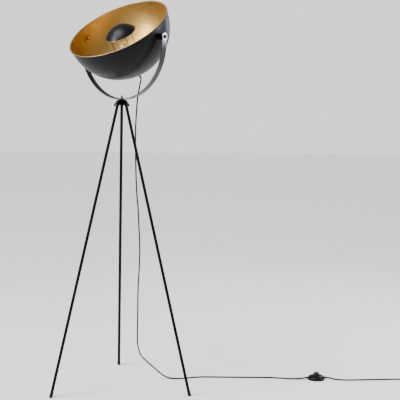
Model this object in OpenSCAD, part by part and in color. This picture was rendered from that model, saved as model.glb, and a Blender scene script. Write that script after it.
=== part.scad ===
// Tripod floor lamp: three tube legs screwed into a hub, a swivelling strip yoke and a
// hemispherical shade that tilts in it, lit by one screw-in bulb behind a small bulb cover.
// Millimetres, +Z up, standing on z = 0. The mouth of the shade faces -X -Y and up.

/* [Tripod] */
// Radius of the circle through the middles of the three feet
foot_circle_r = 315; // [290:1:340]
// Lean of each leg from the vertical, in degrees
leg_lean = 14.5; // [13.5:0.1:15]
// Outer diameter of the leg tubes
leg_d = 12; // [11:0.5:13]
// Wall of the leg tubes
leg_wall = 1; // [0.8:0.1:1.5]
// Height of the leg tubes' upper ends above the floor
leg_top_z = 1137; // [1130:1:1139]
// Height of each foot cap, along its leg
foot_cap_h = 20; // [14:1:30]

/* [Yoke] */
// Radius of the yoke's arc, to the middle of the strip
yoke_r = 222; // [220:1:240]
// Length of the straight strip above each end of the arc
yoke_drop = 20; // [10:1:40]
// Width of the strip
yoke_w = 25; // [22:1:28]
// Thickness of the strip
yoke_t = 3; // [2:0.5:4]
// Diameter of the round eyes at the strip's ends
yoke_eye_d = 28; // [26:1:34]

/* [Shade] */
// Outer radius of the hemispherical shade
shade_r = 204; // [195:1:204]
// Wall of the shade
shade_wall = 1.2; // [1:0.1:2]
// Height of the tilt axis above the floor
pivot_z = 1407; // [1405:1:1440]
// Distance from the tilt axis up to the plane of the rim
pivot_depth = 44; // [30:1:45]
// Turn of the shade's mouth from the -Y axis towards -X, in degrees
shade_pan = 45; // [0:1:90]
// Tilt of the mouth from straight up, in degrees
shade_tilt = 34.5; // [0:1:40]

/* [Bulb cover] */
// Radius of the bulb cover at its edge
cover_r = 62; // [55:1:65]
// Height of the bulb cover's dome
cover_h = 33; // [28:1:38]
// Depth of the bulb cover's edge below the plane of the rim
cover_depth = 26; // [18:1:30]
// Radius of the circle on which the three rods stand
rod_circle_r = 50; // [44:1:52]
// Turn of the first rod about the shade's axis, in degrees
rod_turn = 90; // [0:1:119]

/* [Cord] */
// Diameter of the mains cord
cord_d = 6; // [5:0.5:7]
// Outer diameter of the foot switch
switch_d = 70; // [68:1:76]
// Travel of the foot switch's button
button_travel = 3; // [2:0.5:4]

/* [Hidden] */
$fn = 64;

cut = 0.01;                 // overrun of a cutting tool past the face it cuts
gap = 0.2;                  // space between flat faces that turn against each other
fit = 0.05;                 // radial clearance of a pin that turns in its hole
loose = 0.1;                // radial clearance of a fixed screw in its hole

// Legs: azimuths as seen from above, with the rear leg on +Y
leg_azimuths = [210, 330, 90];
foot_cap_d = leg_d + 1.4;
leg_bottom = 2;             // distance up the leg from the floor to the tube's lower end
leg_length = leg_top_z / cos(leg_lean) - leg_bottom;
insert_len = 25;
stud_d = 6;
stud_len = 34;
stud_up = 20;               // length of a stud above its leg's upper end
stud_start = leg_bottom + leg_length + stud_up - stud_len;

// Hub, from the yoke's underside downwards
yoke_bottom_z = pivot_z - yoke_drop - yoke_r;
yoke_under_z = yoke_bottom_z - yoke_t / 2;
friction_t = 1;
plate_top_z = yoke_under_z - gap - friction_t;
plate_t = 3;
boss_top_z = plate_top_z - plate_t;
boss_h = 18;
boss_r = 13;
lug_r = 6.5;
lug_h = 22;
plate_r = 18;
arm_out_r = 34;             // reach of the arms' tips from the axis
arm_drop = 20;              // how far the arms slope down
arm_tip_h = 6;              // length of the arms' upright tips
swivel_d = 6;
swivel_washer_t = 1.5;
yoke_top_z = yoke_bottom_z + yoke_t / 2;
washer_z = yoke_top_z + gap;
nut_z = washer_z + swivel_washer_t;
nut_af = 10;                // across flats
nut_h = 12;

// Shade: local +Z leaves the mouth, and the rim's plane is local z = 0
bead_r = 2.4;
bead_ring_r = shade_r + 4 - bead_r;
shade_in_r = shade_r - shade_wall;
pivot_bolt_d = 8;
spacer_d = 26;
spacer_neck_d = 15;
spacer_neck = 9;              // length of the neck next to the yoke
spacer_end = yoke_r - yoke_t / 2 - gap;
washer_start = yoke_r + yoke_t / 2 + gap;
washer_t = 1.5;
pivot_washer_d = 28;
head_start = washer_start + washer_t;
head_h = 5.3;
head_af = 13;
flange_d = 30;
flange_in = sqrt(pow(shade_in_r, 2) - pow(pivot_depth, 2)) - 5.5;
cap_nut_h = 14;
bolt_in = flange_in - 9;

// Lampholder and bulb, as depths below the plane of the rim
plate_depth = 186.5;        // of the inner plate's face that looks at the mouth
inner_plate_r = 60;
inner_plate_t = 1.5;
nipple_r = 5;
nipple_hole_r = 2.8;
nipple_out = shade_r + 7;
nipple_in = 170;
holder_cap_len = 22;
holder_cap_depth = plate_depth;
holder_body_depth = holder_cap_depth - holder_cap_len;
holder_body_len = 34;
holder_mouth = holder_body_depth - holder_body_len;
holder_r = 20;
socket_r = 14.6;
core_t = 8;
shell_r = 14.5;
shell_t = 0.4;
bulb_cap_r = 13.2;
bulb_cap_len = 25;
bulb_r = 30;
bulb_len = 76;
bulb_neck_r = 13;

// Bulb cover
cover_t = 1;
cover_ball_r = (pow(cover_r, 2) + pow(cover_h, 2)) / (2 * cover_h);
cover_ball_depth = cover_depth - cover_h + cover_ball_r;
cover_bead_r = 1.1;
rod_d = 3;
rod_tail = 4;               // length of a rod behind the inner plate
rod_nut_h = 2.4;
rod_nut_af = 5.5;

// Gland and strain relief at the pole of the shade
gland_len = 8;
gland_r = 7;
relief_len = 20;
relief_r = 4.6;
relief_end_r = 3.6;
exit_depth = shade_r + gland_len + relief_len;

// The lamp's axis stands off the frame's, so that the frame's origin is under the middle
// of the box around the lamp without its cord: from the rear foot to the rim's front.
mouth = [-sin(shade_pan) * sin(shade_tilt), -cos(shade_pan) * sin(shade_tilt), cos(shade_tilt)];
rim_centre = [0, 0, pivot_z] + pivot_depth * mouth;
rim_front_y = rim_centre[1] - bead_ring_r * sqrt(1 - pow(mouth[1], 2)) - bead_r;
rear_foot_y = foot_circle_r + foot_cap_d / 2 / cos(leg_lean);
axis_y = -(rim_front_y + rear_foot_y) / 2;

// Route of the cord's middle, from the lamp's axis: out of the gland and down to the joint
// between the tail and the upper cord, the upper and the lower cord, and so on to the plug
cord_z = cord_d / 2 + 0.1;
exit_point = rim_centre - exit_depth * mouth;
tail_end = [74.3, 81.4, 1224.2];
upper_end = [62, 85, 1130];
tail_route = [
    exit_point, [76.9, 77.1, 1247.8], [77.7, 78.6, 1243.3], [77.6, 79.7, 1238.6], [76.8, 80.4, 1233.8],
    tail_end
];
upper_route = [
    tail_end + [-0.15, 0.05, -0.6], [71.6, 83.7, 1208.5], [69, 85.1, 1195], [66.6, 85.6, 1180],
    [64.6, 85.7, 1164], [63, 85.5, 1147], upper_end + [0, 0, 0.5]
];
lower_route = [
    upper_end, [60, 85, 1095], [58, 85, 1050], [58, 85, 1000], [59, 85, 930], [61, 85, 860],
    [65, 85, 780], [71, 85, 715], [75, 85, 640], [78, 85, 590], [79, 85, 540], [78, 85, 480],
    [75, 85, 420], [73, 85, 350], [73, 85, 270], [72, 85, 200], [74, 85, 150], [86, 85, 106],
    [113, 84, 76], [140, 83, 52], [165, 82, 30], [188, 81, 13], [212, 80, 5], [240, 79, cord_z],
    [276, 84, cord_z], [315, 95, cord_z], [353, 99, cord_z], [422, 94, cord_z],
    [500, 88, cord_z], [570, 83, cord_z], [632, 78, cord_z], [676, 68, cord_z],
    [712, 58, cord_z], [745, 55, cord_z + 1]
];
run_route = [
    [905, 42, cord_z], [938, 31, cord_z], [970, 29, cord_z], [1020, 30, cord_z],
    [1080, 32, cord_z], [1140, 33, cord_z], [1190, 33, cord_z], [1232, 33, cord_z]
];

// Foot switch
switch_at = [825, 55];
switch_base_h = 7;
switch_wall = 2;
switch_top_z = 19;
switch_top_r = 17;
button_r = 12;
button_top_z = 30;
button_flange_r = 14;
button_flange_t = 1.5;
button_bore_h = 9;
button_flange_z = 15;       // underside of the button's flange at rest
core_w = 22;
core_h = 5;
spring_r = 6.5;
spring_wire_r = 0.5;
spring_turns = 5;
entry_z = 8;                // height of the cord's middle where it enters the switch
bushing_len = 14;
bushing_r = 4.6;
bushing_start = switch_d / 2 - 3;
screw_circle_r = 25;
lower_to_switch = [
    [775 - bushing_len + 8, 54, 6], [switch_at[0] - bushing_start - bushing_len, 55, entry_z]
];
switch_to_run = [
    [switch_at[0] + bushing_start + bushing_len, 55, entry_z], [888, 53, 5]
];

// Coil: three turns of the cord under two, beside the plug
coil_at = [1240, 73];
coil_mid_r = 34;
coil_half_w = 3 * cord_d / 2;
coil_layer_h = cord_d + 0.2;
coil_h = 2 * cord_d + 0.1;
end_z = 9.1;                // height of the cord's middle where it leaves the coil
end_route = [[1277, 76, end_z], [1278, 92, end_z], [1279, 108, 7.8], [1279, 124, 7]];
plug_at = [1279, 124, 7];
plug_relief_len = 22;
plug_len = 36;
plug_w = 26;
plug_h = 13.6;
pin_d = 4;
pin_root_r = 1.7;           // of the part of a pin that the plug is moulded round
pin_len = 19;
pin_pitch = 19;

steel = [0.62, 0.62, 0.63];
black = [0.03, 0.03, 0.03];
charcoal = [0.12, 0.12, 0.12];
gold = [0.72, 0.5, 0.18];
bronze = [0.35, 0.24, 0.12];
brass = [0.8, 0.65, 0.3];
cord_grey = [0.14, 0.14, 0.14];
white = [0.9, 0.9, 0.88];

// ---- Places -------------------------------------------------------------------------

module at_lamp() translate([0, axis_y, 0]) children();

// Local +Z runs up the leg's middle from the floor
module at_leg(azimuth)
    at_lamp() rotate([0, 0, azimuth]) translate([foot_circle_r, 0, 0])
        rotate([0, -leg_lean, 0]) children();

// Local +X is the tilt axis, and the mouth faces local -Y
module at_swivel() at_lamp() rotate([0, 0, -shade_pan]) children();

module at_pivot() at_swivel() translate([0, 0, pivot_z]) children();

module at_shade()
    at_pivot() rotate([shade_tilt, 0, 0]) translate([0, 0, pivot_depth]) children();

// Local +Z points out of the lamp along the tilt axis: side is 1 for right, -1 for left
module along_pivot(side) at_pivot() rotate([0, 90 * side, 0]) children();

module at_switch() at_lamp() translate([switch_at[0], switch_at[1], 0]) children();

module at_plug() at_lamp() translate(plug_at) rotate([-90, 0, 0]) children();

// ---- Plain shapes -------------------------------------------------------------------

module tube(r, bore_r, h)
    difference() {
        cylinder(r = r, h = h);
        translate([0, 0, -cut]) cylinder(r = bore_r, h = h + 2 * cut);
    }

module hexagon(af, h) cylinder(d = af / cos(30), h = h, $fn = 6);

// A cap nut standing on local z = 0, with a blind bore from below
module cap_nut(af, h, bore_r, hex_h)
    difference() {
        union() {
            hexagon(af, hex_h);
            translate([0, 0, hex_h - cut]) cylinder(r = af * 0.46, h = h - hex_h - af * 0.3);
            translate([0, 0, h - af * 0.46]) intersection() {
                sphere(r = af * 0.46);
                translate([0, 0, af / 2]) cube([af, af, af], center = true);
            }
        }
        translate([0, 0, -cut]) cylinder(r = bore_r, h = h - af * 0.25);
    }

// ---- A tube along a route -----------------------------------------------------------

function unit(v) = v / norm(v);

function spline(a, b, c, d, t) =
    0.5 * (2 * b + (c - a) * t + (2 * a - 5 * b + 4 * c - d) * t * t
        + (3 * b - a - 3 * c + d) * t * t * t);

// The route's points, with steps - 1 more on a smooth curve between each two
function smoothed(route, steps) =
    let (last = len(route) - 1)
    concat(
        [for (i = [0:last - 1], k = [0:steps - 1])
            spline(route[max(i - 1, 0)], route[i], route[i + 1], route[min(i + 2, last)],
                k / steps)],
        [route[last]]
    );

function heading(line, i) = unit(line[min(i + 1, len(line) - 1)] - line[max(i - 1, 0)]);

function squared(v, along) = unit(v - (v * along) * along);

// A side direction for each point, each turned as little as possible from the one before
function sides_of(line, first) =
    [for (i = 0, side = squared(first, heading(line, 0));
          i < len(line);
          i = i + 1, side = squared(side, heading(line, min(i, len(line) - 1)))) side];

module swept_tube(line, r, facets)
{
    side = sides_of(line, [1, 0.3, 0.2]);
    rings = len(line);
    points = [for (i = [0:rings - 1], k = [0:facets - 1])
        let (across = cross(heading(line, i), side[i]), a = 360 * k / facets)
        line[i] + r * (cos(a) * side[i] + sin(a) * across)];
    walls = [for (i = [0:rings - 2], k = [0:facets - 1])
        let (n = (k + 1) % facets)
        [i * facets + k, (i + 1) * facets + k, (i + 1) * facets + n, i * facets + n]];
    polyhedron(
        points,
        concat(walls, [[for (k = [0:facets - 1]) k]],
            [[for (k = [facets - 1:-1:0]) (rings - 1) * facets + k]]),
        convexity = 10
    );
}

module cord_tube(route, steps)
    color(cord_grey) at_lamp() swept_tube(smoothed(route, steps), cord_d / 2, 10);

// ---- Tripod -------------------------------------------------------------------------

module leg(azimuth)
    color(black) at_leg(azimuth) translate([0, 0, leg_bottom])
        tube(leg_d / 2, leg_d / 2 - leg_wall, leg_length);

// A cap over the tube's lower end, cut level where it stands on the floor
module foot_cap(azimuth)
    color(charcoal) difference() {
        at_leg(azimuth) difference() {
            translate([0, 0, -foot_cap_d / 2]) cylinder(d = foot_cap_d, h = foot_cap_h + foot_cap_d / 2);
            translate([0, 0, leg_bottom]) cylinder(d = leg_d + 0.04, h = foot_cap_h);
        }
        at_lamp() translate([-2 * foot_circle_r, -2 * foot_circle_r, -foot_cap_d])
            cube([4 * foot_circle_r, 4 * foot_circle_r, foot_cap_d]);
    }

module leg_inserts()
    color(steel) for (azimuth = leg_azimuths)
        at_leg(azimuth) translate([0, 0, leg_bottom + leg_length - insert_len])
            tube(leg_d / 2 - leg_wall - 0.02, stud_d / 2 + loose, insert_len);

module leg_studs()
    color(steel) for (azimuth = leg_azimuths)
        at_leg(azimuth) translate([0, 0, stud_start]) cylinder(d = stud_d, h = stud_len);

module hub_boss()
    color(black) difference() {
        union() {
            at_lamp() translate([0, 0, boss_top_z - boss_h]) cylinder(r = boss_r, h = boss_h);
            intersection() {
                for (azimuth = leg_azimuths) at_leg(azimuth)
                    translate([0, 0, (boss_top_z - lug_h) / cos(leg_lean)])
                        cylinder(r = lug_r, h = 2 * lug_h);
                at_lamp() translate([0, 0, boss_top_z - 2 * boss_h])
                    cylinder(r = 2 * plate_r, h = 2 * boss_h);
            }
        }
        at_lamp() translate([0, 0, boss_top_z - boss_h - cut])
            cylinder(r = swivel_d / 2 + loose, h = boss_h + 2 * cut);
        for (azimuth = leg_azimuths) at_leg(azimuth) translate([0, 0, stud_start])
            cylinder(r = stud_d / 2 + loose, h = stud_len + loose);
    }

// The plate's arms: a strip that slopes down and ends upright, narrowing to its tip
module hub_arm()
    intersection() {
        rotate([90, 0, 0]) linear_extrude(height = 2 * plate_r, center = true)
            polygon([
                [0, 0], [plate_r - 2, 0], [arm_out_r, -arm_drop],
                [arm_out_r, -arm_drop - arm_tip_h], [arm_out_r - plate_t, -arm_drop - arm_tip_h],
                [arm_out_r - plate_t, -arm_drop], [plate_r - 3, -plate_t], [0, -plate_t]
            ]);
        translate([0, 0, -2 * arm_drop]) linear_extrude(height = 3 * arm_drop)
            polygon([
                [0, -9], [plate_r - 4, -9], [arm_out_r, -4.5],
                [arm_out_r, 4.5], [plate_r - 4, 9], [0, 9]
            ]);
    }

module hub_plate()
    color(black) at_lamp() translate([0, 0, plate_top_z]) difference() {
        union() {
            translate([0, 0, -plate_t]) cylinder(r = plate_r, h = plate_t);
            for (azimuth = leg_azimuths) rotate([0, 0, azimuth + 60]) hub_arm();
        }
        translate([0, 0, -plate_t - cut]) cylinder(r = swivel_d / 2 + loose, h = plate_t + 2 * cut);
    }

// Screw up through the hub, with its head below and its end in the cap nut
module swivel_bolt()
    color(steel) at_lamp() translate([0, 0, boss_top_z - boss_h]) union() {
        cylinder(d = swivel_d, h = nut_z + 7 - boss_top_z + boss_h);
        translate([0, 0, -4]) hexagon(nut_af, 4);
    }

module friction_washer()
    color(charcoal) at_lamp() translate([0, 0, plate_top_z])
        tube(12, swivel_d / 2 + loose, friction_t);

module swivel_washer()
    color(steel) at_lamp() translate([0, 0, washer_z])
        tube(8, swivel_d / 2 + loose, swivel_washer_t);

module swivel_cap_nut()
    color(steel) at_lamp() translate([0, 0, nut_z])
        cap_nut(nut_af, nut_h, swivel_d / 2 + loose, 5);

// ---- Yoke ---------------------------------------------------------------------------

module yoke()
    color(charcoal) at_swivel() difference() {
        union() {
            translate([0, 0, pivot_z - yoke_drop]) rotate([90, 0, 0]) rotate([0, 0, 180])
                rotate_extrude(angle = 180)
                    translate([yoke_r - yoke_t / 2, -yoke_w / 2]) square([yoke_t, yoke_w]);
            for (side = [-1, 1]) translate([side * yoke_r, 0, pivot_z]) {
                translate([-yoke_t / 2, -yoke_w / 2, -yoke_drop]) cube([yoke_t, yoke_w, yoke_drop]);
                rotate([0, 90, 0])
                    cylinder(d = yoke_eye_d, h = yoke_t, center = true);
            }
        }
        translate([0, 0, pivot_z]) rotate([0, 90, 0])
            cylinder(r = pivot_bolt_d / 2 + fit, h = 3 * yoke_r, center = true);
        translate([0, 0, yoke_under_z - cut])
            cylinder(r = swivel_d / 2 + fit, h = yoke_t + 10);
    }

// ---- Shade --------------------------------------------------------------------------

module shade_shell()
    color(charcoal) difference() {
        at_shade() union() {
            difference() {
                sphere(r = shade_r);
                sphere(r = shade_in_r);
                translate([0, 0, shade_r]) cube(2 * shade_r + 2, center = true);
            }
            rotate_extrude() translate([bead_ring_r, -bead_r]) circle(r = bead_r, $fn = 32);
        }
        at_pivot() rotate([0, 90, 0])
            cylinder(r = pivot_bolt_d / 2 + loose, h = 3 * shade_r, center = true);
        at_shade() translate([0, 0, -shade_r - 2]) cylinder(r = nipple_r + loose, h = 8);
    }

// A knob between the shade's wall and the yoke, hollowed to sit on the round wall, with a neck
module pivot_spacer(side)
    color(black) difference() {
        along_pivot(side) union() {
            translate([0, 0, spacer_end - 32])
                tube(spacer_d / 2, pivot_bolt_d / 2 + loose, 32 - spacer_neck);
            translate([0, 0, spacer_end - spacer_neck - cut])
                tube(spacer_neck_d / 2, pivot_bolt_d / 2 + loose, spacer_neck + cut);
        }
        at_shade() sphere(r = shade_r + 0.02);
    }

module pivot_bolt(side)
    color(charcoal) along_pivot(side) union() {
        translate([0, 0, bolt_in]) cylinder(d = pivot_bolt_d, h = head_start - bolt_in);
        translate([0, 0, head_start]) hexagon(head_af, head_h);
    }

module pivot_washer(side)
    color(steel) along_pivot(side) translate([0, 0, washer_start])
        tube(pivot_washer_d / 2, pivot_bolt_d / 2 + loose, washer_t);

// A pad inside the shade, rounded to fit the wall
module inner_flange(side)
    color(gold) intersection() {
        along_pivot(side) translate([0, 0, flange_in])
            tube(flange_d / 2, pivot_bolt_d / 2 + loose, 20);
        at_shade() sphere(r = shade_in_r - 0.02);
    }

module pivot_cap_nut(side)
    color(gold) along_pivot(side) translate([0, 0, flange_in]) rotate([180, 0, 0])
        cap_nut(head_af, cap_nut_h, pivot_bolt_d / 2 + loose, 6.5);

// ---- Lampholder, bulb and bulb cover ------------------------------------------------

// Local +Z leaves the mouth, standing at that depth below the plane of the rim
module at_depth(depth) at_shade() translate([0, 0, -depth]) children();

module nipple()
    color(steel) at_depth(nipple_out) tube(nipple_r, nipple_hole_r, nipple_out - nipple_in);

module nipple_spacer()
    color(steel) at_depth(shade_in_r - 0.3)
        tube(9, nipple_r + loose, shade_in_r - 0.3 - plate_depth - inner_plate_t);

module nipple_nut()
    color(steel) at_depth(plate_depth) difference() {
        hexagon(14, 3);
        translate([0, 0, -cut]) cylinder(r = nipple_r + loose, h = 3 + 2 * cut);
    }

module inner_plate()
    color(gold) at_depth(plate_depth + inner_plate_t) difference() {
        cylinder(r = inner_plate_r, h = inner_plate_t);
        translate([0, 0, -cut]) cylinder(r = nipple_r + loose, h = inner_plate_t + 2 * cut);
        for (k = [0:2]) rotate([0, 0, rod_turn + 120 * k]) translate([rod_circle_r, 0, -cut])
            cylinder(r = rod_d / 2 + loose, h = inner_plate_t + 2 * cut);
    }

// The holder's rear cap: a cup with a collar that screws onto the nipple
module lampholder_cap()
    color(black) at_depth(holder_cap_depth) difference() {
        union() {
            translate([0, 0, 3.2]) cylinder(r1 = 13, r2 = holder_r, h = 6.8);
            translate([0, 0, 9.99]) cylinder(r = holder_r, h = holder_cap_len - 9.99);
        }
        cylinder(r = nipple_r + loose, h = 12);
        translate([0, 0, 9]) cylinder(r = holder_r - 2.2, h = holder_cap_len);
        translate([0, 0, holder_cap_len - 5]) cylinder(r = holder_r - 1, h = 6);
    }

module lampholder_body()
    color(black) at_depth(holder_body_depth + 4.8) difference() {
        union() {
            cylinder(r = holder_r - 1.1, h = 5);
            translate([0, 0, 4.9]) cylinder(r = holder_r, h = holder_body_len - 0.1);
            for (z = [14, 20, 26]) translate([0, 0, z]) cylinder(r = holder_r + 0.8, h = 3);
        }
        translate([0, 0, core_t]) cylinder(r = socket_r, h = holder_body_len);
        translate([0, 0, -cut]) cylinder(r = holder_r - 3, h = core_t + 2 * cut);
    }

module lampholder_core()
    color(white) at_depth(holder_body_depth + 4.7) difference() {
        cylinder(r = holder_r - 3.1, h = core_t - 0.2);
        for (side = [-1, 1]) translate([side * 10, 0, -cut]) cylinder(r = 1.6, h = 4);
    }

module thread_shell()
    color(brass) at_depth(holder_body_depth - core_t + 4.7) tube(shell_r, shell_r - shell_t, 20);

module bulb_cap()
    color(steel) at_depth(holder_mouth + bulb_cap_len - 3) union() {
        translate([0, 0, 2]) cylinder(r = bulb_cap_r, h = bulb_cap_len - 2);
        cylinder(r1 = 4.5, r2 = bulb_cap_r - 3, h = 2.01);
        for (k = [1:4]) translate([0, 0, 3.6 * k])
            rotate_extrude() translate([bulb_cap_r - 0.2, 0]) circle(r = 0.9, $fn = 16);
    }

// A pear-shaped bulb: a ball on a neck that narrows in one smooth sweep to the cap
bulb_ball_z = bulb_len - bulb_r;
neck_points = [for (k = [0:12])
    let (t = k / 12, s = t * t * (3 - 2 * t))
    [bulb_neck_r + (bulb_r * cos(35) - bulb_neck_r) * s, t * (bulb_ball_z - bulb_r * sin(35))]];
ball_points = [for (a = [-35:12.5:90]) [bulb_r * cos(a), bulb_ball_z + bulb_r * sin(a)]];
inside_ball = [for (a = [90:-12.5:-35])
    [(bulb_r - 1) * cos(a), bulb_ball_z + (bulb_r - 1) * sin(a)]];
inside_neck = [for (k = [12:-1:0]) [neck_points[k][0] - 1, neck_points[k][1]]];

module bulb_glass()
    color([0.85, 0.88, 0.9, 0.4]) at_depth(holder_mouth - 3.05)
        rotate_extrude() polygon(concat(
            neck_points, [for (k = [1:len(ball_points) - 2]) ball_points[k]],
            [[0, bulb_len], [0, bulb_len - 1]],
            [for (k = [1:len(inside_ball) - 2]) inside_ball[k]], inside_neck
        ));

// A glass stem with four straight filaments around it
module bulb_filament()
    color([1, 0.75, 0.3]) at_depth(holder_mouth - 3.05) union() {
        cylinder(r1 = 6, r2 = 2.5, h = 26);
        translate([0, 0, 25.9]) cylinder(r = 1.2, h = 26);
        translate([0, 0, 51.5]) cylinder(r = 6, h = 0.8);
        translate([0, 0, 24]) cylinder(r = 6, h = 0.8);
        for (k = [0:3]) rotate([0, 0, 90 * k + 45]) translate([5, 0, 24.5])
            cylinder(r = 0.8, h = 27.2);
    }

module rod_places()
    for (k = [0:2]) rotate([0, 0, rod_turn + 120 * k]) translate([rod_circle_r, 0, 0]) children();

module cover_rods()
    color(bronze) at_shade() difference() {
        rod_places() translate([0, 0, -plate_depth - inner_plate_t - rod_tail])
            cylinder(d = rod_d, h = plate_depth + inner_plate_t + rod_tail);
        difference() {
            translate([0, 0, -cover_depth]) cylinder(r = cover_r + 5, h = cover_h + 20);
            translate([0, 0, -cover_ball_depth]) sphere(r = cover_ball_r - cover_t - 0.02);
        }
    }

module rod_nuts()
    color(steel) at_shade() rod_places()
        for (z = [-plate_depth, -plate_depth - inner_plate_t - rod_nut_h])
            translate([0, 0, z]) difference() {
                hexagon(rod_nut_af, rod_nut_h);
                translate([0, 0, -cut]) cylinder(r = rod_d / 2 + loose, h = rod_nut_h + 2 * cut);
            }

module bulb_cover()
    color(black) at_shade() union() {
        translate([0, 0, -cover_ball_depth]) difference() {
            sphere(r = cover_ball_r);
            sphere(r = cover_ball_r - cover_t);
            translate([0, 0, cover_ball_depth - cover_depth - 2 * cover_ball_r])
                cube(4 * cover_ball_r, center = true);
        }
        translate([0, 0, -cover_depth]) rotate_extrude()
            translate([cover_r - 0.4, 0]) circle(r = cover_bead_r, $fn = 24);
    }

// ---- Gland --------------------------------------------------------------------------

module cable_gland()
    color(black) difference() {
        at_depth(shade_r + gland_len) union() {
            cylinder(r = gland_r - 1, h = 3);
            translate([0, 0, 2.9]) hexagon(2 * gland_r * cos(30), gland_len - 2.9);
        }
        at_depth(shade_r + gland_len + cut) cylinder(r = cord_d / 2 + 0.4, h = gland_len + 2);
        at_depth(nipple_out) cylinder(r = nipple_r + loose, h = 20);
        at_shade() sphere(r = shade_r + 0.02);
    }

module strain_relief()
    color(black) at_depth(exit_depth) cylinder(r1 = relief_end_r, r2 = relief_r, h = relief_len);

// ---- Foot switch --------------------------------------------------------------------

module switch_screw_places()
    for (k = [0:2]) rotate([0, 0, 60 + 120 * k]) translate([screw_circle_r, 0, 0]) children();

module switch_base()
    color(charcoal) at_switch() difference() {
        union() {
            cylinder(d = switch_d, h = 3);
            tube(switch_d / 2, switch_d / 2 - switch_wall, switch_base_h);
            switch_screw_places() cylinder(r = 4, h = switch_base_h);
        }
        switch_screw_places() translate([0, 0, -cut]) {
            cylinder(r = 1.5 + loose, h = switch_base_h + 2 * cut);
            cylinder(r = 3.2, h = 2.6);
        }
        for (side = [-1, 1]) translate([side * switch_d / 2, 0, entry_z]) rotate([0, 90, 0])
            cylinder(r = bushing_r + 0.05, h = 12, center = true);
    }

// Outline of the cover's outer face, from its lower edge to the hole for the button
function cover_line(shrink) = [for (a = [0:15:90])
    [switch_top_r + (switch_d / 2 - switch_top_r - shrink) * cos(a),
     switch_base_h + (switch_top_z - shrink - switch_base_h) * sin(a)]];

module switch_cover()
    color(black) at_switch() difference() {
        union() {
            rotate_extrude() polygon(concat(
                cover_line(0),
                [[button_r + 0.6, switch_top_z], [button_r + 0.6, switch_top_z - switch_wall]],
                [for (k = [6:-1:0]) cover_line(switch_wall)[k]]
            ));
            switch_screw_places() translate([0, 0, switch_base_h]) cylinder(r = 3.2, h = 8.5);
        }
        switch_screw_places() cylinder(r = 1.5 + loose, h = switch_base_h + 6);
        for (side = [-1, 1]) translate([side * switch_d / 2, 0, entry_z]) rotate([0, 90, 0])
            cylinder(r = bushing_r + 0.05, h = 12, center = true);
    }

module switch_core()
    color(white) at_switch() translate([0, 0, 3.05]) difference() {
        translate([-core_w / 2, -core_w / 2, 0]) cube([core_w, core_w, core_h]);
        translate([0, 0, core_h - 1]) cylinder(r = spring_r + 1, h = 2);
        for (x = [-8, 8]) translate([x, 8, core_h - 2]) cylinder(r = 1.2, h = 3);
    }

// A coil spring between the core and the button, wound by formula
spring_bottom = 3.05 + core_h - 1 + spring_wire_r;
spring_top = button_flange_z + button_bore_h - 0.7;
spring_line = [for (k = [0:16 * spring_turns])
    let (t = k / (16 * spring_turns), a = 360 * spring_turns * t)
    [spring_r * cos(a), spring_r * sin(a), spring_bottom + (spring_top - spring_bottom) * t]];

module switch_spring()
    color(steel) at_switch() swept_tube(spring_line, spring_wire_r, 8);

module switch_button()
    color(charcoal) at_switch() difference() {
        union() {
            translate([0, 0, button_flange_z])
                cylinder(r = button_flange_r, h = button_flange_t);
            translate([0, 0, button_flange_z + cut])
                cylinder(r = button_r, h = button_top_z - 2 - button_flange_z - cut);
            translate([0, 0, button_top_z - 2 - cut])
                cylinder(r1 = button_r, r2 = button_r - 2, h = 2 + cut);
        }
        translate([0, 0, button_flange_z - cut]) cylinder(r = button_r - 2, h = button_bore_h);
    }

module switch_screws()
    color(steel) at_switch() switch_screw_places() translate([0, 0, 0.6]) union() {
        cylinder(r = 3, h = 1.9);
        cylinder(r = 1.5, h = switch_base_h + 4);
    }

module switch_bushings()
    color(black) at_switch() for (side = [-1, 1])
        translate([side * bushing_start, 0, entry_z]) rotate([0, 90 * side, 0])
            cylinder(r1 = bushing_r, r2 = cord_d / 2 + 0.6, h = bushing_len);

// ---- Cord, coil and plug ------------------------------------------------------------

module cord_coil()
    color(cord_grey) at_lamp() translate([coil_at[0], coil_at[1], 0.05]) rotate_extrude()
        polygon([
            [coil_mid_r - coil_half_w, 0], [coil_mid_r + coil_half_w, 0],
            [coil_mid_r + coil_half_w, coil_layer_h],
            [coil_mid_r + coil_half_w - 3, coil_h], [coil_mid_r - coil_half_w + 3, coil_h],
            [coil_mid_r - coil_half_w, coil_layer_h]
        ]);

// A strap around the bundle of turns, on the coil's far side
module coil_tie()
    color(black) at_lamp() translate([coil_at[0], coil_at[1] + coil_mid_r, 0]) difference() {
        translate([-4, -coil_half_w - 1.2, 0]) cube([8, 2 * coil_half_w + 2.4, coil_h + 1.2]);
        translate([-5, -coil_half_w - 0.5, 0.02]) cube([10, 2 * coil_half_w + 1, coil_h + 0.1]);
    }

module plug_relief()
    color(black) at_plug() cylinder(r1 = cord_d / 2 + 0.5, r2 = 5.2, h = plug_relief_len);

module plug_body()
    color(black) at_plug() translate([0, 0, plug_relief_len]) difference() {
        intersection() {
            union() {
                translate([-7, -plug_h / 2, 0]) cube([14, plug_h, plug_len]);
                for (side = [-1, 1]) translate([side * 6, 0, 0]) cylinder(r = plug_h / 2, h = plug_len);
            }
            rotate([90, 0, 0]) linear_extrude(height = plug_h, center = true)
                polygon([
                    [-7, 0], [7, 0], [plug_w / 2, 12], [plug_w / 2, plug_len],
                    [-plug_w / 2, plug_len], [-plug_w / 2, 12]
                ]);
        }
        for (side = [-1, 1]) translate([side * pin_pitch / 2, 0, plug_len - 12])
            cylinder(r = pin_root_r + 0.02, h = 12 + cut);
    }

module plug_pins()
    color(brass) at_plug() for (side = [-1, 1])
        translate([side * pin_pitch / 2, 0, plug_relief_len + plug_len]) union() {
            cylinder(d = pin_d, h = pin_len);
            translate([0, 0, -11.9]) cylinder(r = pin_root_r, h = 11.9 + cut);
        }

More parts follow.
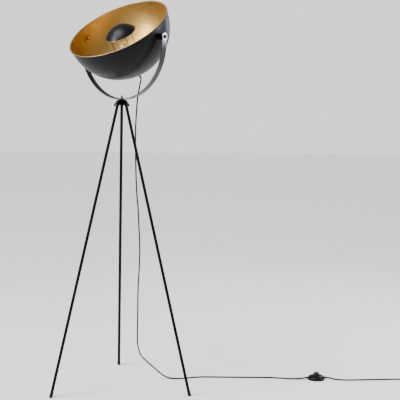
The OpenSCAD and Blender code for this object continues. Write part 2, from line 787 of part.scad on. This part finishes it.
// ---- Nodes --------------------------------------------------------------------------

leg(leg_azimuths[0]);  // leg_left
leg(leg_azimuths[1]);  // leg_right
leg(leg_azimuths[2]);  // leg_rear
foot_cap(leg_azimuths[0]);  // foot_cap_left
foot_cap(leg_azimuths[1]);  // foot_cap_right
foot_cap(leg_azimuths[2]);  // foot_cap_rear
leg_inserts();
leg_studs();
hub_boss();
hub_plate();
swivel_bolt();
friction_washer();
swivel_washer();
swivel_cap_nut();
yoke();
shade_shell();
pivot_spacer(-1);  // pivot_spacer_left
pivot_spacer(1);  // pivot_spacer_right
pivot_bolt(-1);  // pivot_bolt_left
pivot_bolt(1);  // pivot_bolt_right
pivot_washer(-1);  // pivot_washer_left
pivot_washer(1);  // pivot_washer_right
inner_flange(-1);  // inner_flange_left
inner_flange(1);  // inner_flange_right
pivot_cap_nut(-1);  // cap_nut_left
pivot_cap_nut(1);  // cap_nut_right
nipple();
nipple_spacer();
nipple_nut();
inner_plate();
lampholder_cap();
lampholder_body();
lampholder_core();
thread_shell();
bulb_cap();
bulb_glass();
bulb_filament();
cover_rods();
rod_nuts();
bulb_cover();
cable_gland();
strain_relief();
cord_tube(tail_route, 2);  // cord_tail
cord_tube(upper_route, 2);  // cord_upper
cord_tube(concat(lower_route, lower_to_switch), 1);  // cord_lower
switch_base();
switch_cover();
switch_core();
switch_spring();
switch_button();
switch_screws();
switch_bushings();
cord_tube(concat(switch_to_run, run_route), 2);  // cord_run
cord_coil();
coil_tie();
cord_tube(end_route, 2);  // cord_end
plug_relief();
plug_body();
plug_pins();
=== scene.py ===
"""Looks for the tripod floor lamp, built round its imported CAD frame."""
import math

import bmesh
import bpy
from mathutils import Matrix, Vector


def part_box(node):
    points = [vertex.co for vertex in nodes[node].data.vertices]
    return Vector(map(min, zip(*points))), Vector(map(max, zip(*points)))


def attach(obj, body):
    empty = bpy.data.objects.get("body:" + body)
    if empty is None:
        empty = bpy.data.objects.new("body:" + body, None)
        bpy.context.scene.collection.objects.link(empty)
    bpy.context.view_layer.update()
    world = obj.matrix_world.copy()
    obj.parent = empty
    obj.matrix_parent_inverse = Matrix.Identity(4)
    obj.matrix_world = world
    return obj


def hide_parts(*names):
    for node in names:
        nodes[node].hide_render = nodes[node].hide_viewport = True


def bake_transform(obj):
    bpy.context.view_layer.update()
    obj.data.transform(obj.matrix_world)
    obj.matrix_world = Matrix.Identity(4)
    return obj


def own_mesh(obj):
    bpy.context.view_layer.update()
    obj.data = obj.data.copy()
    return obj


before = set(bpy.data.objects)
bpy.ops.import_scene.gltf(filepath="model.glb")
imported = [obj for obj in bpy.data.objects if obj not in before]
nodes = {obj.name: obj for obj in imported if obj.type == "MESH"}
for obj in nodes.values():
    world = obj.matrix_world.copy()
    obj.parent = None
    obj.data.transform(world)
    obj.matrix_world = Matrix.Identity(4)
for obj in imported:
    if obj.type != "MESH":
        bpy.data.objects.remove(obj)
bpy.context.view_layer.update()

# ---- Places, as in the CAD: millimetres in local frames, metres outside -------------------

low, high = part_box("swivel_washer")
AXIS = Vector(((low[0] + high[0]) / 2, (low[1] + high[1]) / 2, 0))
MM = Matrix.Scale(0.001, 4)


def turn(angle, axis):
    return Matrix.Rotation(math.radians(angle), 4, axis)


def shift(x, y, z):
    return Matrix.Translation((x, y, z))


YOKE_AZIMUTH = -45
PIVOT_Z = 1407
PIVOT_DEPTH = 44  # from the rim's plane down to the pivots
SHADE_TILT = 34.5
SWITCH_XY = (825, 55)
PLUG_XYZ = (1279, 124, 7)

AT_LAMP = Matrix.Translation(AXIS) @ MM
AT_PIVOT = AT_LAMP @ turn(YOKE_AZIMUTH, "Z") @ shift(0, 0, PIVOT_Z)
AT_SHADE = AT_PIVOT @ turn(SHADE_TILT, "X") @ shift(0, 0, PIVOT_DEPTH)  # centre of the rim


def at_depth(depth):
    """A place on the shade's axis, depth below the plane of its rim."""
    return AT_SHADE @ shift(0, 0, -depth)


# ---- Camera and light ----------------------------------------------------------------------

LENS_MM, SENSOR_MM = 94.5, 36
CAMERA_AT = (-0.071, -4.192, 1.240)
CAMERA_PAN, CAMERA_PITCH, CAMERA_ROLL = -5.29, 83.55, 0.87

camera_data = bpy.data.cameras.new("camera")
camera_data.lens = LENS_MM
camera_data.sensor_width = SENSOR_MM
camera_data.clip_end = 50
camera = bpy.data.objects.new("camera", camera_data)
bpy.context.scene.collection.objects.link(camera)
camera.matrix_world = (
    Matrix.Translation(AXIS + Vector(CAMERA_AT))
    @ turn(CAMERA_PAN, "Z") @ turn(CAMERA_PITCH, "X") @ turn(CAMERA_ROLL, "Z")
)
bpy.context.scene.camera = camera


LIT_POINT = (0, 0, 1.45)


def area_light(name, place, size, power, color):
    """A soft box at place that faces the shade."""
    data = bpy.data.lights.new(name, "AREA")
    data.shape = "RECTANGLE"
    data.size, data.size_y = size
    data.energy = power
    data.color = color
    lamp = bpy.data.objects.new(name, data)
    bpy.context.scene.collection.objects.link(lamp)
    lamp.location = place
    aim = Vector(LIT_POINT) - Vector(place)
    lamp.rotation_euler = aim.to_track_quat("-Z", "Y").to_euler()


area_light("key", (-2.4, -0.9, 1.85), (0.8, 1.0), 62, (1, 0.97, 0.9))
area_light("side", (2.6, 0.0, 1.85), (0.9, 0.9), 60, (0.9, 0.94, 1))
area_light("edge", (2.1, 2.3, 1.9), (0.9, 1.2), 16, (0.85, 0.9, 1))
sky_data = bpy.data.lights.new("overhead", "SUN")
sky_data.energy = 4.2
sky_data.angle = math.radians(50)
sky = bpy.data.objects.new("overhead", sky_data)
sky.rotation_euler = (math.radians(20), math.radians(-40), 0)
bpy.context.scene.collection.objects.link(sky)

AMBIENT, BACKDROP = 0.35, 1.35  # strength as light on the lamp, and as seen behind it

world = bpy.data.worlds.new("studio")
bpy.context.scene.world = world
world.use_nodes = True
tree = world.node_tree
dim = tree.nodes["Background"]
dim.inputs["Color"].default_value = (0.94, 0.96, 1, 1)
dim.inputs["Strength"].default_value = AMBIENT
plain = tree.nodes.new("ShaderNodeBackground")
plain.inputs["Color"].default_value = (1, 1, 1, 1)
plain.inputs["Strength"].default_value = BACKDROP
ray = tree.nodes.new("ShaderNodeLightPath")
choose = tree.nodes.new("ShaderNodeMixShader")
tree.links.new(ray.outputs["Is Camera Ray"], choose.inputs["Fac"])
tree.links.new(dim.outputs["Background"], choose.inputs[1])
tree.links.new(plain.outputs["Background"], choose.inputs[2])
tree.links.new(choose.outputs["Shader"], tree.nodes["World Output"].inputs["Surface"])

# ---- Materials -----------------------------------------------------------------------------


class Recipe:
    """A material's node tree, with short names for the nodes it is made of."""

    def __init__(self, name):
        self.material = bpy.data.materials.new(name)
        self.material.use_nodes = True
        self.tree = self.material.node_tree
        self.shader = self.tree.nodes["Principled BSDF"]
        self.coords = self.add("ShaderNodeTexCoord")

    def add(self, kind):
        return self.tree.nodes.new(kind)

    def link(self, out, into):
        self.tree.links.new(out, into)

    def set(self, **values):
        """Values that are the same all over, set on the shader's own sockets."""
        for key, value in values.items():
            self.shader.inputs[key.replace("_", " ")].default_value = value

    def noise(self, scale, detail, stretch=(1, 1, 1)):
        place = self.add("ShaderNodeMapping")
        place.inputs["Scale"].default_value = stretch
        self.link(self.coords.outputs["Object"], place.inputs["Vector"])
        made = self.add("ShaderNodeTexNoise")
        made.inputs["Scale"].default_value = scale
        made.inputs["Detail"].default_value = detail
        self.link(place.outputs["Vector"], made.inputs["Vector"])
        return made.outputs["Fac"]

    def ramp(self, source, low, high, low_value, high_value):
        made = self.add("ShaderNodeValToRGB")
        first, last = made.color_ramp.elements
        first.position, last.position = low, high
        first.color, last.color = low_value, high_value
        self.link(source, made.inputs["Fac"])
        return made.outputs["Color"]

    def roughness(self, source, low, high):
        spread = self.add("ShaderNodeMapRange")
        spread.inputs["From Min"].default_value = 0.3
        spread.inputs["From Max"].default_value = 0.7
        spread.inputs["To Min"].default_value = low
        spread.inputs["To Max"].default_value = high
        self.link(source, spread.inputs["Value"])
        self.link(spread.outputs["Result"], self.shader.inputs["Roughness"])

    def bump(self, source, strength, distance):
        made = self.add("ShaderNodeBump")
        made.inputs["Strength"].default_value = strength
        made.inputs["Distance"].default_value = distance
        self.link(source, made.inputs["Height"])
        self.link(made.outputs["Normal"], self.shader.inputs["Normal"])


def rgba(color, gain=1.0):
    return (color[0] * gain, color[1] * gain, color[2] * gain, 1)


def finish_paint(
    name, color, rough, metal=0.0, grain=900, depth=0.00006, spread=0.12, shine=0.5
):
    """Sprayed or moulded finish: fine orange peel, slow colour drift and patchy gloss."""
    recipe = Recipe(name)
    recipe.set(Metallic=metal, Specular_IOR_Level=shine)
    drift = recipe.noise(scale=14, detail=4)
    tone = recipe.ramp(drift, 0.32, 0.68, rgba(color, 1 - spread), rgba(color, 1 + spread))
    recipe.link(tone, recipe.shader.inputs["Base Color"])
    recipe.roughness(recipe.noise(scale=60, detail=5), rough * 0.85, rough * 1.15)
    recipe.bump(recipe.noise(scale=grain, detail=2), strength=0.35, distance=depth)
    return recipe.material


def finish_brushed(name, color, rough, stretch):
    """Bare metal drawn in one direction, which the stretched noise follows."""
    recipe = Recipe(name)
    recipe.set(Metallic=1.0)
    lines = recipe.noise(scale=900, detail=4, stretch=stretch)
    tone = recipe.ramp(lines, 0.3, 0.7, rgba(color, 0.85), rgba(color, 1.15))
    recipe.link(tone, recipe.shader.inputs["Base Color"])
    patches = recipe.noise(scale=120, detail=4, stretch=stretch)
    recipe.roughness(patches, rough * 0.75, rough * 1.25)
    recipe.bump(lines, strength=0.2, distance=0.00004)
    return recipe.material


def finish_glass(name):
    """Clear glass with a trace of green and faint smears."""
    recipe = Recipe(name)
    recipe.set(Transmission_Weight=1.0, IOR=1.46)
    drift = recipe.noise(scale=30, detail=2)
    tint = recipe.ramp(drift, 0.3, 0.7, (0.97, 0.985, 0.98, 1), (1, 1, 1, 1))
    recipe.link(tint, recipe.shader.inputs["Base Color"])
    recipe.roughness(recipe.noise(scale=80, detail=2), 0.01, 0.03)
    return recipe.material


MATERIALS = {
    "leg_black": finish_paint("leg_black", (0.002, 0.002, 0.002), 0.4, grain=1400, shine=0.08),
    "hub_black": finish_paint("hub_black", (0.002, 0.002, 0.002), 0.35, grain=1400, shine=0.1),
    "rubber": finish_paint(
        "rubber", (0.008, 0.008, 0.008), 0.75, grain=2200, depth=0.0001, shine=0.15
    ),
    "plastic": finish_paint("plastic", (0.005, 0.005, 0.0055), 0.3, grain=1800, shine=0.14),
    "button_plastic": finish_paint(
        "button_plastic", (0.014, 0.014, 0.015), 0.5, grain=2400, shine=0.25
    ),
    "charcoal": finish_paint("charcoal", (0.004, 0.004, 0.0042), 0.36, grain=1600, shine=0.12),
    "gold_inside": finish_paint(
        "gold_inside", (0.6, 0.385, 0.118), 0.42, metal=1.0, grain=1600, spread=0.06
    ),
    "gold": finish_paint("gold", (0.6, 0.36, 0.12), 0.25, metal=1.0, grain=1600),
    "rim_beige": finish_paint("rim_beige", (0.45, 0.33, 0.2), 0.35, metal=0.6, grain=1600),
    "cover_black": finish_paint(
        "cover_black", (0.004, 0.0045, 0.007), 0.36, grain=700, depth=0.00002, shine=0.25
    ),
    "rod": finish_paint("rod", (0.012, 0.009, 0.007), 0.3, metal=0.3, grain=1600, shine=0.3),
    "zinc": finish_brushed("zinc", (0.55, 0.55, 0.56), 0.3, (1, 1, 0.2)),
    "bright": finish_brushed("bright", (0.26, 0.26, 0.265), 0.3, (1, 1, 1)),
    "yoke": finish_brushed("yoke", (0.06, 0.06, 0.062), 0.3, (1, 1, 0.05)),
    "brass": finish_brushed("brass", (0.8, 0.6, 0.25), 0.25, (0.2, 1, 1)),
    "ceramic": finish_paint("ceramic", (0.8, 0.79, 0.75), 0.3, grain=500, spread=0.03),
    "filament": finish_paint("filament", (0.95, 0.7, 0.25), 0.5, grain=2500),
    "cord": finish_paint("cord", (0.007, 0.007, 0.0075), 0.5, grain=1500, depth=0.0001, shine=0.15),
    "glass": finish_glass("glass"),
    "floor": finish_paint("floor", (0.95, 0.95, 0.95), 0.85, grain=40, depth=0.0001, spread=0.01),
}

# ---- Mesh tools ----------------------------------------------------------------------------


WELD = 1e-6


def mesh_piece(name, points, faces, materials, body, sharp=40):
    """A smooth mesh from points in metres, split at edges sharper than sharp degrees.
    materials is one name or a list of names. body is None for a piece that is attached later, or
    not at all."""
    mesh = bpy.data.meshes.new(name)
    mesh.from_pydata([tuple(p) for p in points], [], faces)
    piece = bpy.data.objects.new(name, mesh)
    bpy.context.scene.collection.objects.link(piece)
    names = [materials] if isinstance(materials, str) else materials
    for entry in names:
        mesh.materials.append(MATERIALS[entry])
    mesh.shade_smooth()
    mesh.set_sharp_from_angle(angle=math.radians(sharp))
    if body:
        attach(piece, body)
    return piece


def lathe(name, profile, place, material, body, sides=96, sharp=40, bands=None):
    """Turns a (radius, height) profile about local Z. bands gives each profile step the
    number of its material in the list material."""
    points, faces, kinds = [], [], []
    count = len(profile)
    for k in range(sides):
        a = 2 * math.pi * k / sides
        for r, z in profile:
            points.append(place @ Vector((r * math.cos(a), r * math.sin(a), z)))
    for k in range(sides):
        n = (k + 1) % sides
        for i in range(count - 1):
            faces.append((k * count + i, n * count + i, n * count + i + 1, k * count + i + 1))
            kinds.append(bands[i] if bands else 0)
    piece = mesh_piece(name, points, faces, material, None, sharp=sharp)
    piece.data.polygons.foreach_set("material_index", kinds)
    weld(piece)
    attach(piece, body)
    return piece


def weld(piece):
    """Joins points that coincide and turns every face outwards."""
    work = bmesh.new()
    work.from_mesh(piece.data)
    bmesh.ops.remove_doubles(work, verts=work.verts, dist=WELD)
    bmesh.ops.recalc_face_normals(work, faces=work.faces)
    work.to_mesh(piece.data)
    work.free()


def arc(cx, cy, r, start, end, steps):
    """Points on a circle from one angle to another, both in degrees."""
    return [
        (cx + r * math.cos(math.radians(a)), cy + r * math.sin(math.radians(a)))
        for a in (start + (end - start) * k / steps for k in range(steps + 1))
    ]


def round_bevel(piece, width):
    """Rounds the sharp edges of a CAD node with a modifier."""
    made = piece.modifiers.new("edge", "BEVEL")
    made.width = width
    made.segments = 3
    made.limit_method = "ANGLE"
    made.angle_limit = math.radians(35)
    made.harden_normals = True


def spline(route, step):
    """Points about step apart on a smooth curve through route's points."""
    route = [Vector(p) for p in route]
    last = len(route) - 1
    line = []
    for i in range(last):
        a, b, c, d = (route[max(i - 1, 0)], route[i], route[i + 1], route[min(i + 2, last)])
        parts = max(2, round((c - b).length / step))
        for k in range(parts):
            t = k / parts
            line.append(0.5 * (
                2 * b + (c - a) * t + (2 * a - 5 * b + 4 * c - d) * t * t
                + (3 * b - a - 3 * c + d) * t ** 3
            ))
    line.append(route[last])
    return line


def evened(line, step):
    """The same line with its points evenly spaced."""
    total = [0.0]
    for a, b in zip(line, line[1:]):
        total.append(total[-1] + (b - a).length)
    count = max(2, round(total[-1] / step))
    made, k = [], 0
    for i in range(count + 1):
        at = total[-1] * i / count
        while k < len(line) - 2 and total[k + 1] < at:
            k += 1
        span = total[k + 1] - total[k]
        made.append(line[k].lerp(line[k + 1], 0 if span == 0 else (at - total[k]) / span))
    return made


def tube(name, line, radius, material, body, sides=14):
    """A round tube along a line in metres, with closed ends."""
    points, faces = [], []
    side = Vector((1, 0.3, 0.2))
    for i, at in enumerate(line):
        ahead = (line[min(i + 1, len(line) - 1)] - line[max(i - 1, 0)]).normalized()
        side = (side - ahead * side.dot(ahead)).normalized()
        across = ahead.cross(side)
        for k in range(sides):
            a = 2 * math.pi * k / sides
            points.append(at + radius * (math.cos(a) * side + math.sin(a) * across))
    for i in range(len(line) - 1):
        for k in range(sides):
            n = (k + 1) % sides
            faces.append((i * sides + k, i * sides + n, (i + 1) * sides + n, (i + 1) * sides + k))
    faces.append(tuple(range(sides - 1, -1, -1)))
    faces.append(tuple((len(line) - 1) * sides + k for k in range(sides)))
    return mesh_piece(name, points, faces, material, body, sharp=60)


# ---- Cord ----------------------------------------------------------------------------------

CORD_R = 0.003
CORD_MM = 6
CORD_Z = 3.1  # height of its middle where it lies on the floor
EXIT_DEPTH = 232
YOKE_CORD_END = (61, 85, 860)  # a point on the hanging cord's route, below the yoke


def in_lamp(points):
    return [AT_LAMP @ Vector(p) for p in points]


exit_point = AT_SHADE @ Vector((0, 0, -EXIT_DEPTH))
upper_route = [exit_point] + in_lamp([
    (76.9, 77.1, 1247.8), (77.7, 78.6, 1243.3), (77.6, 79.7, 1238.6), (76.8, 80.4, 1233.8),
    (74.3, 81.4, 1224.2), (71.6, 83.7, 1208.5), (69, 85.1, 1195), (66.6, 85.6, 1180),
    (64.6, 85.7, 1164), (63, 85.5, 1147), (62, 85, 1130),
])
upper_line = evened(spline(upper_route, 0.002), 0.003)
upper_cord = tube("cord_to_shade", upper_line, CORD_R, "cord", None)
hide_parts("cord_tail", "cord_upper")
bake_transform(upper_cord)

lower_route = [
    (62, 85, 1130), (60, 85, 1095), (58, 85, 1050), (58, 85, 1000), (59, 85, 930),
    YOKE_CORD_END, (65, 85, 780), (71, 85, 715), (75, 85, 640), (78, 85, 590), (79, 85, 540),
    (78, 85, 480), (75, 85, 420), (73, 85, 350), (73, 85, 270), (72, 85, 200), (74, 85, 150),
    (86, 85, 106), (113, 84, 76), (140, 83, 52), (165, 82, 30), (188, 81, 13), (212, 80, 5),
    (240, 79, CORD_Z), (276, 84, CORD_Z), (315, 95, CORD_Z), (353, 99, CORD_Z),
    (422, 94, CORD_Z), (500, 88, CORD_Z), (570, 83, CORD_Z), (632, 78, CORD_Z),
    (676, 68, CORD_Z), (712, 58, CORD_Z), (745, 55, CORD_Z + 1), (769, 54, 6), (779, 55, 8),
    (800, 55, 8), (825, 55, 8), (850, 55, 8), (871, 55, 8), (888, 53, 5), (905, 42, CORD_Z),
    (938, 31, CORD_Z), (970, 29, CORD_Z), (1020, 30, CORD_Z), (1080, 32, CORD_Z),
    (1140, 33, CORD_Z), (1190, 33, CORD_Z), (1232, 33, CORD_Z),
]
COIL = (1240, 73)
COIL_OUTER, COIL_INNER = 40, 28
FLAT_END, CLIMB_END, COIL_END = 720, 810, 1170  # degrees turned


def coil_point(turned):
    """The coil from its outside in, then up and out again over itself."""
    if turned <= FLAT_END:
        radius, z = COIL_OUTER - (COIL_OUTER - COIL_INNER) * turned / FLAT_END, CORD_Z
    elif turned <= CLIMB_END:
        rise = (turned - FLAT_END) / (CLIMB_END - FLAT_END)
        radius = COIL_INNER + CORD_MM / 2 * rise
        z = CORD_Z + CORD_MM * rise * rise * (3 - 2 * rise)
    else:
        radius = COIL_INNER + CORD_MM / 2 + CORD_MM * (turned - CLIMB_END) / 360
        z = CORD_Z + CORD_MM
    a = math.radians(turned - 90)
    return (COIL[0] + radius * math.cos(a), COIL[1] + radius * math.sin(a), z)


lower_route += [coil_point(t) for t in range(0, COIL_END + 1, 15)]
lower_route += [(1277.5, 84, 9), (1278.5, 97, 8.6), (1279, 110, 7.6), PLUG_XYZ]
lower_line = evened(spline(in_lamp(lower_route), 0.003), 0.0035)
lower_cord = tube("cord_to_plug", lower_line, CORD_R, "cord", None, sides=12)
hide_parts("cord_lower", "cord_run", "cord_coil", "cord_end")
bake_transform(lower_cord)


# ---- Ribbed sleeves on the cord ------------------------------------------------------------

RIB_PITCH = 2.8
RELIEF_LENGTH, SWITCH_RELIEF_LENGTH, PLUG_RELIEF_LENGTH = 20, 14, 22
SWITCH_CORD_Z = 8
SWITCH_HALF = 32  # from the switch's middle to where a sleeve starts


def ribbed(name, place, length, start_r, end_r, body):
    """A soft sleeve from local z = 0, tapering from start_r to end_r, with grooves around it."""
    bore = CORD_R * 1000 + 0.05
    ribs = round((length - 3) / RIB_PITCH)
    pitch = (length - 3) / ribs
    profile = [(bore, 0), (start_r - 0.3, 0), (start_r, 0.3)]
    for k in range(ribs):
        z = 2 + k * pitch
        r = start_r + (end_r - start_r) * z / length
        low = max(bore + 0.25, r - 0.7)
        profile += [(r, z), (low, z + 0.25), (low, z + 0.95), (r - 0.05, z + 1.2)]
    profile += [(end_r, length - 0.4), (end_r - 0.3, length), (bore, length), (bore, 0)]
    return lathe(name, profile, place, "rubber", body, sides=40, sharp=35)


sleeve = ribbed(
    "relief_ribs", at_depth(EXIT_DEPTH - RELIEF_LENGTH) @ turn(180, "X"),
    length=RELIEF_LENGTH, start_r=4.6, end_r=3.6, body="shade",
)
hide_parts("strain_relief")
AT_SWITCH = AT_LAMP @ shift(*SWITCH_XY, SWITCH_CORD_Z)
for side, name in ((-1, "switch_ribs_left"), (1, "switch_ribs_right")):
    sleeve = ribbed(
        name, AT_SWITCH @ shift(SWITCH_HALF * side, 0, 0) @ turn(90 * side, "Y"),
        length=SWITCH_RELIEF_LENGTH, start_r=4.6, end_r=3.6, body="tripod",
    )
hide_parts("switch_bushings")
AT_PLUG = AT_LAMP @ shift(*PLUG_XYZ) @ turn(-90, "X")
plug_sleeve = ribbed(
    "plug_ribs", AT_PLUG @ shift(0, 0, PLUG_RELIEF_LENGTH) @ turn(180, "X"),
    length=PLUG_RELIEF_LENGTH, start_r=5.2, end_r=3.5, body="tripod",
)
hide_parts("plug_relief")


# ---- Spring under the switch's button ------------------------------------------------------

SPRING_R, SPRING_TURNS = 6.5, 5
SPRING_LOW, SPRING_HIGH = 7.55, 23.3
SPRING_WIRE_R = 0.0005
SPRING_STEPS = SPRING_TURNS * 32
spring_line = []
for k in range(SPRING_STEPS + 1):
    done = k / SPRING_STEPS
    a = 2 * math.pi * SPRING_TURNS * done
    spring_line.append(AT_LAMP @ Vector((
        SWITCH_XY[0] + SPRING_R * math.cos(a), SWITCH_XY[1] + SPRING_R * math.sin(a),
        SPRING_LOW + (SPRING_HIGH - SPRING_LOW) * done,
    )))
spring = tube("button_spring", spring_line, SPRING_WIRE_R, "zinc", "tripod", sides=10)
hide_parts("switch_spring")
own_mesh(spring)


# ---- Finishes of the CAD nodes -------------------------------------------------------------

FINISHES = {
    "leg_black": ["leg_left", "leg_right", "leg_rear"],
    "hub_black": ["hub_boss", "hub_plate"],
    "rubber": [
        "foot_cap_left", "foot_cap_right", "foot_cap_rear", "friction_washer", "strain_relief",
        "switch_bushings", "plug_relief",
    ],
    "zinc": [
        "leg_inserts", "leg_studs", "swivel_bolt", "nipple", "nipple_spacer", "nipple_nut",
        "bulb_cap", "rod_nuts", "switch_spring", "switch_screws",
    ],
    "bright": ["swivel_washer", "swivel_cap_nut", "pivot_washer_left", "pivot_washer_right"],
    "yoke": ["yoke"],
    "charcoal": ["shade_shell"],
    "plastic": [
        "pivot_spacer_left", "pivot_spacer_right", "pivot_bolt_left", "pivot_bolt_right",
        "lampholder_cap", "lampholder_body", "cable_gland", "switch_base", "switch_cover",
        "coil_tie", "plug_body",
    ],
    "button_plastic": ["switch_button"],
    "gold": [
        "inner_flange_left", "inner_flange_right", "cap_nut_left", "cap_nut_right",
    ],
    "gold_inside": ["inner_plate"],
    "ceramic": ["lampholder_core", "switch_core"],
    "brass": ["thread_shell", "plug_pins"],
    "glass": ["bulb_glass"],
    "filament": ["bulb_filament"],
    "rod": ["cover_rods"],
    "cover_black": ["bulb_cover"],
    "cord": ["cord_tail", "cord_upper", "cord_lower", "cord_run", "cord_coil", "cord_end"],
}
for finish, names in FINISHES.items():
    for node in names:
        for slot in nodes[node].material_slots:
            slot.link = "OBJECT"
            slot.material = MATERIALS[finish]

# Machined and moulded edges are slightly round: width in metres, and the nodes that have it
EDGES = {
    0.0005: [
        "hub_boss", "yoke", "switch_base", "switch_cover", "pivot_spacer_left",
        "pivot_spacer_right",
    ],
    0.0003: [
        "pivot_bolt_left", "pivot_bolt_right", "pivot_washer_left", "pivot_washer_right",
        "inner_flange_left", "inner_flange_right", "cap_nut_left", "cap_nut_right",
        "swivel_cap_nut", "swivel_washer", "friction_washer", "swivel_bolt", "nipple_nut",
        "nipple_spacer", "inner_plate", "rod_nuts", "cable_gland", "lampholder_body",
        "lampholder_cap", "coil_tie", "plug_pins", "leg_left", "leg_right", "leg_rear",
    ],
    0.0012: ["plug_body", "foot_cap_left", "foot_cap_right", "foot_cap_rear"],
}
for width, names in EDGES.items():
    for node in names:
        round_bevel(nodes[node], width)

# ---- Shade ---------------------------------------------------------------------------------

SHADE_R, SHADE_IN = 204, 202.8
HOLE_R = 5.2  # for the nipple, at the pole
BEAD_MIDDLE, BEAD_R = 205.6, 2.4
BEAD_DARK_STEPS = 12  # the outer half of the rolled rim has the colour of the outside
outer = arc(0, 0, SHADE_R, -90 + math.degrees(math.asin(HOLE_R / SHADE_R)), -1.6, 60)
bead = arc(BEAD_MIDDLE, -BEAD_R, BEAD_R, -140, 190, 22)
inner = arc(0, 0, SHADE_IN, -0.8, -90 + math.degrees(math.asin(HOLE_R / SHADE_IN)), 60)
profile = outer + bead + inner + [outer[0]]
bands = []
for k in range(len(profile) - 1):
    if k < len(outer) + BEAD_DARK_STEPS:
        bands.append(0)
    elif k < len(outer) + len(bead) - 1:
        bands.append(2)
    else:
        bands.append(1)
shade = lathe(
    "shade_skin", profile, AT_SHADE, ["charcoal", "gold_inside", "rim_beige"], "shade",
    sides=192, bands=bands,
)
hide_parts("shade_shell")

# ---- Bulb cover ----------------------------------------------------------------------------

COVER_R, COVER_H, COVER_DEPTH, COVER_WALL = 62, 33, 26, 1
CURL_R, CURL_IN = 1.5, 0.4  # its rolled edge, and how far inside COVER_R that is centred
ball = (COVER_R ** 2 + COVER_H ** 2) / (2 * COVER_H)
half = math.degrees(math.asin(COVER_R / ball))
ball_z = COVER_H - ball - COVER_DEPTH
dome = arc(0, ball_z, ball, 90, 90 - half, 28)
curl = arc(COVER_R - CURL_IN, -COVER_DEPTH, CURL_R, 50, -190, 14)
hollow = arc(0, ball_z, ball - COVER_WALL, 90 - half, 90, 28)
cover_profile = dome + curl + hollow
cover_bands = [
    0 if k < len(dome) else (1 if k < len(dome) + len(curl) - 1 else 2)
    for k in range(len(cover_profile) - 1)
]
cover = lathe(
    "bulb_cover_skin", cover_profile, AT_SHADE, ["cover_black", "rim_beige", "gold_inside"],
    "shade", sides=128, bands=cover_bands,
)
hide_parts("bulb_cover")

# ---- Floor ---------------------------------------------------------------------------------

FLOOR_CORNERS = [(-14, -9, 0), (14, -9, 0), (14, 14, 0), (-14, 14, 0)]
floor = mesh_piece(
    "floor", [AXIS + Vector(p) for p in FLOOR_CORNERS], [(0, 1, 2, 3)], "floor", None
)
